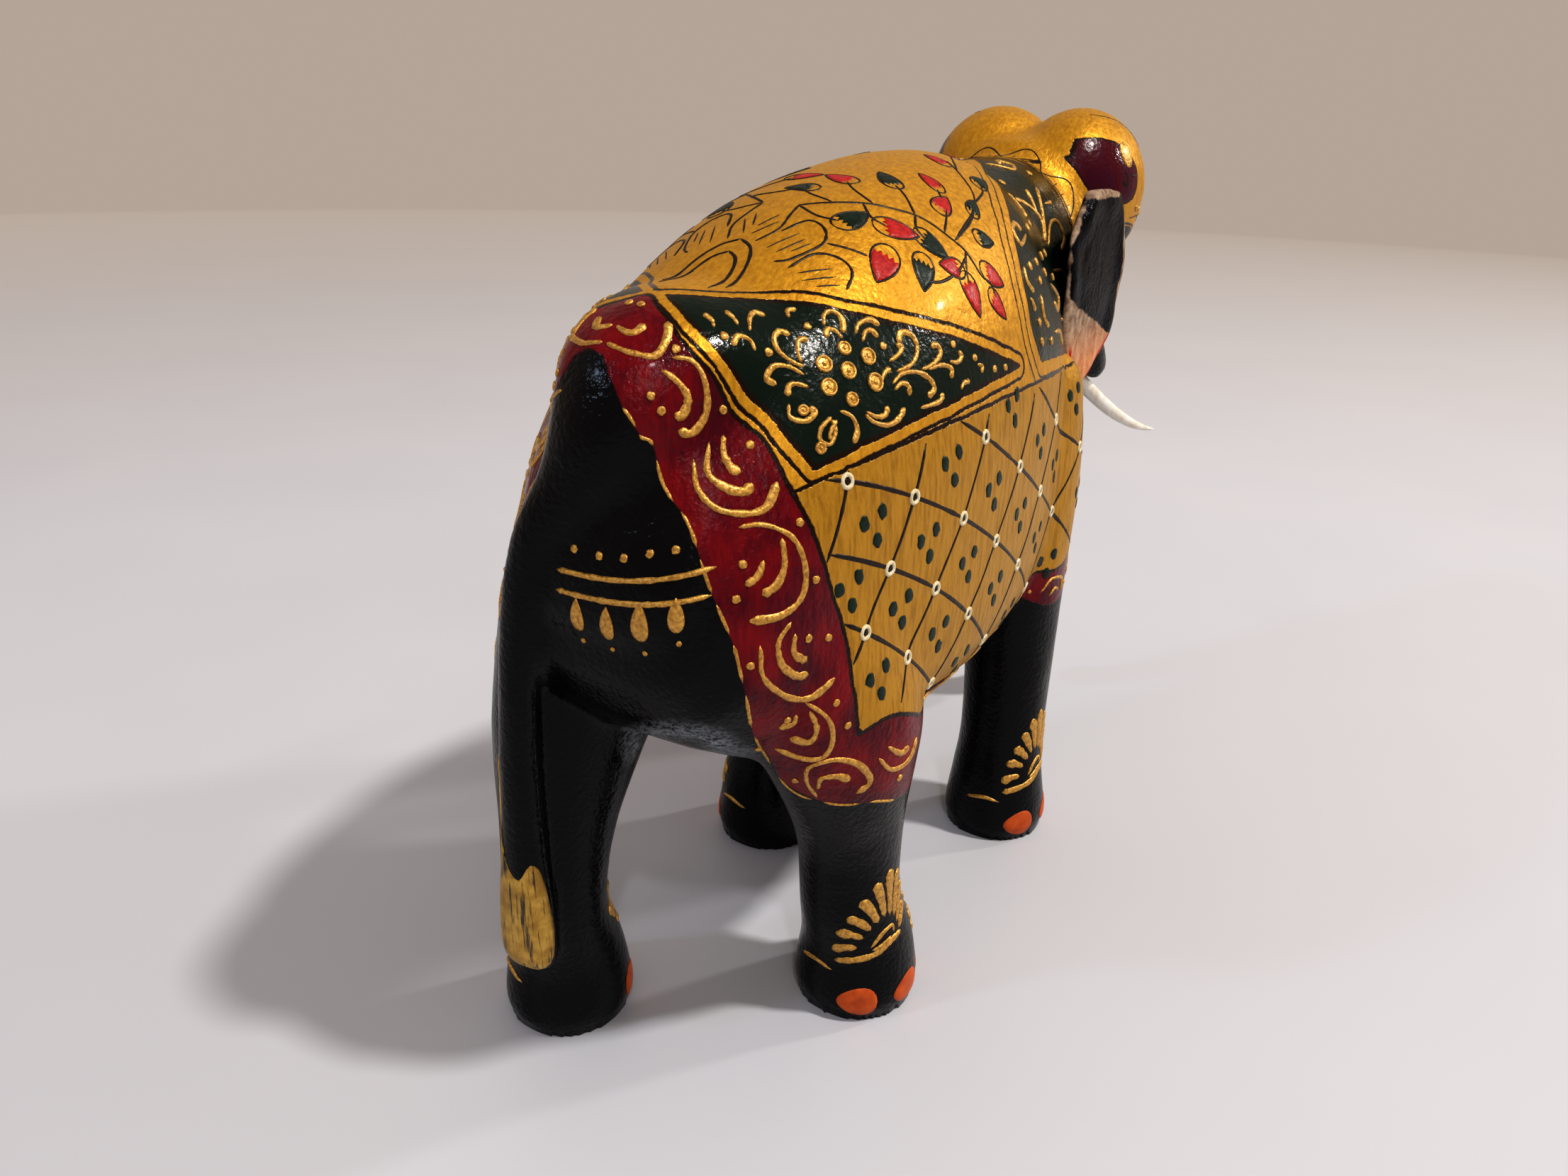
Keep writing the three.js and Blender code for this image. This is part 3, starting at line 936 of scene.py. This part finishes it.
def paint_wedge(side, hand):
    brush = Brush()
    brush.strokes(on_flank(side), WEDGE_STROKES, 0.8, "comma", 6)
    flank_dots(brush, side, WEDGE_DOTS, 0.55)
    brush.finish("neck_scrolls_" + hand, raised_gold)


# The lattice: two families of lines, a ring at each crossing and three dots in each cell.
CELLS_ALONG = range(-2, 7)
CELLS_DOWN = range(-5, 5)
CELL_DOTS = ((1.25, 1.15), (-1.3, 0.5), (0.45, -1.5))


def crossing(i, j):
    """Where line i of the steep family meets line j of the slanted one, in the body chart."""
    y = 35.1 - 9.0 * i + 3.5 * j + 0.75 * i * j
    angle = 76.4 + 11.9 * i + 19.1 * j + 0.4 * i * i - 1.1 * j * j - 0.6 * i * j
    return y, angle


def in_lattice(places, margin):
    """True for the body chart's places on the lattice and further than margin from its edge."""
    edge = outline_of([BORDER_EDGE[5:], BAND_EDGE, CHEST_EDGE])
    middle = np.array([12, 98])
    shrunk = middle + (edge - middle) * (1 - margin / 30)
    places = np.array(places, float)
    return inside_outline(places, shrunk) & (places[:, 1] > LATTICE_TOP + margin)


def draw_inside(brush, chart, points):
    """The stretches of a fine line that lie on the lattice."""
    line = curve_through(points, 8)
    run = []
    for p, keep in zip(line, in_lattice(line, 0.2)):
        if keep:
            run.append(p)
        if run and (not keep or p is line[-1]):
            if len(run) > 3:
                brush.lines(chart, [run], 0.6, steps=1)
            run = []


def paint_lattice(side, hand):
    chart = on_flank(side)
    lines, rings, dots = Brush(), Brush(), Brush()
    for i in CELLS_ALONG:
        draw_inside(lines, chart, [crossing(i, j) for j in CELLS_DOWN])
    for j in CELLS_DOWN:
        draw_inside(lines, chart, [crossing(i, j) for i in CELLS_ALONG])
    for i, j in ((i, j) for i in CELLS_ALONG for j in CELLS_DOWN):
        if in_lattice([crossing(i, j)], 0.9)[0]:
            rings.ring(flank_spot(side, *crossing(i, j)), 0.6, 0.52, 0.2)
        cell = np.mean([crossing(i + a, j + b) for a in (0, 1) for b in (0, 1)], axis=0)
        if in_lattice([cell], 1)[0]:
            spot = flank_spot(side, *cell)
            for a, b in CELL_DOTS:
                dots.dot(spot.shifted(a, b, 20), 0.68, 0.09, squash=1.3)
    lines.finish("lattice_lines_" + hand, brown_line)
    rings.finish("lattice_rings_" + hand, cream)
    dots.finish("lattice_dots_" + hand, dark_green)


# The back panel: a curling vine with buds, long leaves and a double arch over the rump.
VINE = [(28.6, 4), (26.6, 9), (24.4, 13), (22.4, 17), (20.4, 20.5), (19, 24), (17.8, 27.5), (16.6, 31),
        (16, 36)]
# Buds: y, angle, the way they point in degrees from forward towards the spine, length, and colour.
BUDS = [(24.5, 0, 100, 3.2, "green"), (20.5, 4, 80, 3.6, "red"), (17, 10.5, 60, 3.6, "green"),
        (12, 15, 80, 3.2, "red"), (14.6, 20.5, 20, 3.6, "red"), (27.8, 14.8, -10, 4.0, "green"),
        (24.6, 21.4, -40, 4.4, "red"), (21.6, 27, -65, 4.0, "green"), (29.6, 26, -150, 4.6, "red"),
        (25.4, 31, -130, 4.0, "green"), (20.6, 32.4, 160, 3.4, "red"), (19.2, 38.4, -90, 4.2, "red"),
        (13.6, 36.5, -35, 3.8, "red"), (14.6, 42, -60, 3.4, "red"), (9.4, 23, 30, 3.0, "green"),
        (11.6, 29.4, -20, 3.2, "green"), (4, 9, 80, 3.2, "red"), (2, 17.5, 10, 3.4, "green"),
        (-3, 6, 60, 3.0, "red")]
BUD_SIZE = 1.2
STEMS = [
    [(26.6, 9), (26, 4), (25.2, 1)],
    [(23.6, 14.5), (22.6, 9), (21.2, 6)],
    [(20.4, 20.5), (18.6, 16), (17.6, 12.6)],
    [(18.4, 26), (15, 22), (12.6, 17)],
    [(17.6, 28), (13, 26), (10, 24)],
    [(28.6, 4), (29.6, 9), (29, 13.4)],
    [(24.4, 13), (25.8, 16.6), (25.4, 20)],
    [(20.4, 20.5), (22, 23), (22, 26)],
    [(16.6, 31), (20, 33.5), (24, 34), (27, 31.5)],
    [(16.8, 30.5), (18.6, 34.6), (19, 37)],
    [(16, 36), (14.6, 38), (14.6, 41)],
    [(17.6, 28), (8, 22), (4, 13), (2.6, 10)],
    [(8, 22), (4, 20), (2.6, 18)],
    [(4.6, 14), (0, 9), (-2, 7)],
]
LEAVES = [
    [(28.6, 4), (30.6, 4.6), (33.2, 5.4), (35.6, 3.4)],
    [(33.4, 6.4), (30.8, 9), (31, 13), (33, 15.4), (36.4, 13.4), (37.6, 11)],
    [(37.6, 14.6), (34.6, 16), (33.2, 20), (33.4, 24), (35.4, 26.4)],
    [(32.6, 16), (31.4, 20), (30.6, 23)],
]
HATCHES = [[(33.2, 0.6), (31, 2.6)], [(34.6, 1), (32, 4)], [(36.2, 7), (33, 10)],
           [(36.4, 9.6), (33.4, 12)], [(35.6, 12), (33.6, 13.6)], [(37.6, 17), (34.8, 21)],
           [(38, 19), (35.2, 23)], [(37.6, 22), (35.6, 24.8)]]
ARCHES = [[(35.6, 0), (36.8, 4), (39.6, 7), (43.4, 8.6)],
          [(37.6, 0), (38.6, 3), (40.8, 5), (45, 6.6)]]


def bud_outline(length, share=1.0, teeth=0):
    """A drop shape, or the share of it nearest its point, which ends in brush teeth."""
    width = 0.36 * length
    ts = np.linspace(-share * math.pi, share * math.pi, 25)
    shape = [(0.5 * length * math.cos(t), width * math.sin(t) * math.sin(abs(t) / 2) ** 0.8) for t in ts]
    if teeth:
        cut = shape[0][0]
        top, bottom = shape[-1][1], shape[0][1]
        for k in range(1, 2 * teeth):
            inner = cut + (0.35 if k % 2 else -0.25)
            shape.append((inner, top + (bottom - top) * k / (2 * teeth)))
    return shape


def paint_back(side, hand):
    chart = on_flank(side)
    ink = Brush()
    fills = {"red": Brush(), "green": Brush()}
    ink.lines(chart, [VINE], 0.5)
    ink.lines(chart, [*STEMS, *LEAVES], 0.44)
    ink.lines(chart, HATCHES, 0.3, 0.05)
    ink.lines(chart, ARCHES, 0.5)
    for y, angle, turn, length, colour in BUDS:
        if angle == 0 and side == LEFT:
            continue  # the bud on the spine belongs to both sides
        length *= BUD_SIZE
        spot = flank_spot(side, y, angle, turn)
        ink.lines(spot, [bud_outline(length)], 0.34, steps=1)
        fills[colour].blob(spot, bud_outline(length, 0.68, 4), 0.08, 2)
    ink.finish("back_linework_" + hand, brown_line)
    fills["red"].finish("buds_red_" + hand, bud_red)
    fills["green"].finish("buds_green_" + hand, dark_green)


# The rump: two curved lines with dots above and drops below, on each side of the tail.
RUMP_DOTS = [(1.8, 62), (-1, 61.9), (-3.6, 62.2), (-6, 63), (-8.2, 63.6), (10.4, 62.6), (12.4, 63.4)]
RUMP_DROPS = [(1.2, 56, 1), (-2.2, 56, 1), (-5.7, 56.9, 1.15), (-8.9, 58, 1), (10.8, 56.4, 0.9),
              (13, 57.4, 0.9)]  # x, z and size


def paint_rump():
    brush = Brush()
    span = np.linspace(0, 1, 6)
    for drop, rise in ((0, 2.4), (1.9, 1.9)):
        brush.stroke(from_behind, [(3.6 - 14.8 * t, 59.8 - drop + rise * t ** 2.2) for t in span], 0.62)
    for drop in (0, 1.9):
        brush.stroke(from_behind, [(9.4 + 4.2 * t, 60.4 - drop + 1.2 * t) for t in span], 0.62)
    for x, z in RUMP_DOTS:
        brush.dot(Spot(from_behind, x, z, (-1, 0, 0)), DOT)
    for x, z, size in RUMP_DROPS:
        shape = [(1.7 * size * math.cos(t), 0.95 * size * math.sin(t) * math.cos(t / 2) ** 0.7)
                 for t in full_turn(21) - math.pi]
        brush.blob(Spot(from_behind, x, z, (0, 0, -1), (1, 0, 0)), shape, 0.22)
        brush.dot(Spot(from_behind, x - 0.1, z - 2.7 * size, (-1, 0, 0)), 0.28)
    brush.finish("rump_fringe", raised_gold)


# Feet: a fan of drop-shaped petals over a curved band, and four orange nails, on each leg.
# Petals, root then tip, as (angle round the leg, height). A second fan looks forward.
PETALS = [[(-63, 10.6), (-86, 9.8)], [(-58, 12), (-82, 12.6)], [(-51, 13), (-73, 15)],
          [(-44, 13.8), (-62, 17.4)], [(-36, 14.2), (-49, 19.4)], [(-28, 14), (-33, 20.4)],
          [(-21, 13.4), (-15, 19.4)], [(-16, 12.4), (0, 17)], [(-13, 11.4), (8, 13.8)]]
ANKLET = [([(-84, 8.2), (-62, 8.8), (-44, 9.4), (-28, 10.4), (-10, 11)], 1.0, "even"),
          ([(-50, 10.4), (-38, 12), (-25, 12.5), (-22, 11.4)], 0.6, "leaf"),
          ([(-48, 10), (-37, 10.4), (-26, 11.2)], 0.5, "leaf")]
TWIG = [(-128, 6.4), (-105, 7), (-86, 6.6)]
FAN_SHIFTS = (0, 112)
NAIL_ANGLES = (-60, -4, 48, 100)


# Name, middle of the leg, side, and how far its anklet is turned towards the front.
FEET = [("right_hind", (-13.5, 28.8), RIGHT, 0), ("right_fore", (-13.5, -15.2), RIGHT, 22),
        ("left_hind", (13.5, 49.8), LEFT, 45), ("left_fore", (13.5, 5.8), LEFT, 35)]


def paint_foot(name, foot, side, turn):
    gold, nails = Brush(), Brush()
    chart = round_leg(foot, side, turn)
    for shift in FAN_SHIFTS:
        for root, tip in PETALS:
            middle = ((root[0] + tip[0]) / 2, (root[1] + tip[1]) / 2 + 0.3)
            gold.stroke(chart, [(a + shift, z) for a, z in (root, middle, tip)], 1.5, "comma")
        for points, width, style in ANKLET:
            gold.stroke(chart, [(a + shift, z) for a, z in points], width, style)
    gold.stroke(chart, TWIG, 0.6, "leaf")
    for angle in NAIL_ANGLES:
        shape = [(angle + 20 * math.cos(t), 2.9 + 2.0 * math.sin(t) + 0.3 * math.sin(2 * t))
                 for t in full_turn(20)]
        nails.blob(chart, shape, 0.16)
    gold.finish("anklet_" + name, raised_gold)
    nails.finish("toenails_" + name, nail_orange)


# The tail's tuft, and the streak that climbs its left edge.
def paint_tail():
    brush = Brush()
    edge = [(80, 14.5), (80, 20), (62, 26), (55, 31), (38, 27.5), (14, 25), (-16, 24), (-44, 26), (-68, 24.5),
            (-80, 19), (-76, 14.4), (-50, 12.6), (0, 12), (50, 12.4)]
    brush.blob(round_tail, curve_through([*edge, edge[0]], 3)[:-1], 0.16, 6)
    brush.stroke(round_tail, [(56, 27), (50, 33), (34, 38)], 1.1, "comma")
    brush.dot(Spot(from_behind, 11.4, 10.2, (1, 0, 0)), 0.5)
    brush.finish("tail_tuft", brushed_gold)


# The head: scalloped petals round the neck, lines on the domes, a tab on the temple and a painted eye.
DOME_LINES = [[(-33, 97.5), (-38, 99), (-44, 98), (-49, 94.5)], [(-42, 85.6), (-47, 85.4), (-51.5, 81.6)]]
UPPER_LID = [(-43.4, 76.6), (-45, 78.6), (-47.6, 78.6), (-49.4, 76.4)]
LOWER_LID = [(-43.4, 76.6), (-45.6, 75.2), (-47.8, 75.2), (-49.4, 76.4)]
FOREHEAD_DROP = [(0, 96), (-3.6, 89), (-2.6, 82), (0, 78.5), (2.6, 82), (3.6, 89), (0, 96)]
FOREHEAD_DOTS = [(92, 3.4), (88, 4.4), (84, 4.2), (80, 3.4)]  # height, and distance from the middle


def neck_petal(ink, chart, start):
    petal = [(-27.2, 0), (-29.6, 3), (-30.6, 6.5), (-29.6, 10), (-27.4, 12)]
    ink.lines(chart, [[(y, start + angle) for y, angle in petal]], 0.3)
    ink.lines(chart, [[(-27.8, start + k), (-29, start + k)] for k in (4, 6.5, 9)], 0.18, 0.05)


def paint_head():
    ink, gold = Brush(), Brush()
    for side in (RIGHT, LEFT):
        for start in (-1, 11, 23):
            neck_petal(ink, on_flank(side), start)
        sides = from_side(side)
        ink.lines(sides, DOME_LINES, 0.28)
        tab = [(-39.8 + 1.3 * math.cos(t), 94 + 1.7 * math.sin(t)) for t in full_turn(16)]
        gold.blob(sides, tab, 0.16)
        for k in range(5):
            gold.dot(Spot(sides, -43.6 - 1.8 * k, 86.9 - 0.225 * k * k, (0, -1, 0)), DOT)
        gold.stroke(sides, UPPER_LID, 0.5, "leaf")
        gold.stroke(sides, LOWER_LID, 0.4, "leaf")
    for z, half in FOREHEAD_DOTS:
        for x in (-half, half):
            gold.dot(Spot(from_front, x, z, (1, 0, 0)), 0.4)
    ink.lines(from_front, [FOREHEAD_DROP], 0.3)
    # Arcs down the top of the trunk.
    for z in (70, 66, 62, 58):
        arc = [(-2.6, 1.6), (-1.4, -0.2), (0, -0.8), (1.4, -0.2), (2.6, 1.6)]
        gold.stroke(from_front, [(x, z + lift) for x, lift in arc], 0.5)
        gold.dot(Spot(from_front, 0, z + 0.9, (1, 0, 0)), 0.4)
    ink.finish("head_linework", brown_line)
    gold.finish("head_gold", raised_gold)


# ---- Ears and tusks ----

def build_ear(side, hand):
    """The ear's blade, dished and softly folded, with its tenon left as it is."""
    node = "ear_" + hand
    blade_x = 16
    low, high = (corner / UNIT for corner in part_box(node))
    data = remeshed(node, EAR_VOXEL)
    places = smoothed(data, places_of(data), 4)
    # How far each vertex is inside the blade's rim, seen from the side.
    from_middle = places[:, 1:] - np.array([(low.y + high.y) / 2, 77.5])
    turns = np.arctan2(from_middle[:, 1], from_middle[:, 0])
    reach = np.linalg.norm(from_middle, axis=1)
    on_blade = np.abs(places[:, 0]) > blade_x - 1.6
    bins = np.linspace(-math.pi, math.pi, 49)
    edge = [reach[on_blade & (turns >= a) & (turns <= b)].max() for a, b in zip(bins, bins[1:])]
    rim = np.interp(turns, (bins[1:] + bins[:-1]) / 2, edge, period=2 * math.pi) - reach
    # The blade is hollowed a little, and its border waves.
    outer = smoothstep(side * places[:, 0], blade_x - 0.6, blade_x + 0.4)
    dish = 0.55 * smoothstep(rim, 0.8, 5) * outer
    folds = 0.16 * np.sin(turns * 7) * smoothstep(rim, 5, 0.5) * outer
    places[:, 0] -= side * (dish - folds)
    set_places(data, places)
    # The border is broad at the lobe and thin elsewhere, and stays on the outer face.
    low_part = 66.5 + 0.35 * (places[:, 1] - low.y) - places[:, 2]
    # The front and top strips, above the lobe, take the pale tan, partly a painted sheen where those edges
    # catch the light.
    front = 1.3 - (places[:, 1] - (low.y + 0.8))
    top = places[:, 2] - (high.z - 1.2)
    border = np.maximum(np.maximum(low_part + 2.8, front), np.maximum(top, 0.35 - rim))
    border = np.minimum(border, 2 * (side * places[:, 0] - blade_x + 1.2))
    add_field(data, "centre", -border)
    add_field(data, "low", 71 - places[:, 2])
    add_field(data, "rim", rim)
    piece = add_piece("painted_ear_" + hand, data, ear_paint)
    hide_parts(node)


def build_tusk(hand):
    """The tusk with its facets smoothed away."""
    node = "tusk_" + hand
    data = remeshed(node, TUSK_VOXEL)
    set_places(data, smoothed(data, places_of(data), 3))
    piece = add_piece("white_tusk_" + hand, data, tusk_white)
    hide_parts(node)


# ---- Assembly ----

raised_gold = raised_gold_material()
brown_line = flat_paint_material("brown_line", rgb(0.022, 0.009, 0.004), rgb(0.009, 0.004, 0.002))
cream = flat_paint_material("cream_ring", rgb(0.75, 0.68, 0.5), rgb(0.55, 0.47, 0.3), 0.4)
dark_green = flat_paint_material("dark_green", rgb(0.003, 0.022, 0.01), rgb(0.002, 0.008, 0.005), 0.7)
bud_red = flat_paint_material("bud_red", rgb(0.5, 0.02, 0.015), rgb(0.28, 0.008, 0.012), 0.5)
nail_orange = flat_paint_material("nail_orange", rgb(0.56, 0.115, 0.02), rgb(0.38, 0.065, 0.011), 1.5,
                                  (0.35, 0.55))
brushed_gold = tuft_material()
ear_paint = ear_material()
tusk_white = tusk_material()

carved = add_piece("carved_and_painted_body", body_mesh, painted_body_material())
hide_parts("carved_body")

for side, hand in ((RIGHT, "right"), (LEFT, "left")):
    paint_border(side, hand)
    paint_triangle(side, hand)
    paint_wedge(side, hand)
    paint_lattice(side, hand)
    paint_back(side, hand)
    build_ear(side, hand)
    build_tusk(hand)
paint_rump()
paint_tail()
paint_head()
for foot in FEET:
    paint_foot(*foot)


# ---- Stage ----

def add_floor():
    half = 3.0
    data = bpy.data.meshes.new("floor")
    corners = [(x * half, y * half, 0) for x, y in ((-1, -1), (1, -1), (1, 1), (-1, 1))]
    data.from_pydata(corners, [], [(0, 1, 2, 3)])
    data.materials.append(floor_material())
    floor = bpy.data.objects.new("floor", data)
    floor.location.z = cad_low.z
    collection.objects.link(floor)


def add_light(name, direction, distance, size, energy, colour):
    data = bpy.data.lights.new(name, "AREA")
    data.shape = "DISK"
    data.size = size
    data.energy = energy
    data.color = colour
    light = bpy.data.objects.new(name, data)
    aim = Vector((0, 0, 50 * UNIT))
    light.location = aim + Vector(direction).normalized() * distance
    light.rotation_mode = "QUATERNION"
    light.rotation_quaternion = (aim - light.location).to_track_quat("-Z", "Y")
    collection.objects.link(light)


def add_world():
    world = bpy.data.worlds.new("studio")
    world.use_nodes = True
    background = world.node_tree.nodes["Background"]
    background.inputs["Color"].default_value = BACKDROP
    background.inputs["Strength"].default_value = BACKDROP_GLOW
    bpy.context.scene.world = world


add_floor()
# Name, direction, distance, size, energy and colour.
for light in (("key", (-0.6, -0.15, 1), 1.6, 0.12, 13, (1, 0.96, 0.9)),
              ("glint", (-0.53, -0.67, 0.42), 1.2, 0.08, 2.6, (1, 0.97, 0.92)),
              ("spark", (-0.4, 0.55, 0.75), 1.2, 0.06, 1.2, (0.95, 0.97, 1)),
              ("fill", (-0.7, 0.75, 0.6), 1.5, 0.6, 1.6, (0.95, 0.97, 1)),
              ("window", (0.6, 0.85, 0.7), 1.4, 0.12, 1.6, (0.6, 0.75, 1))):
    add_light(*light)
add_world()
view = bpy.context.scene.view_settings
view.view_transform = "Standard"
view.look = "High Contrast"
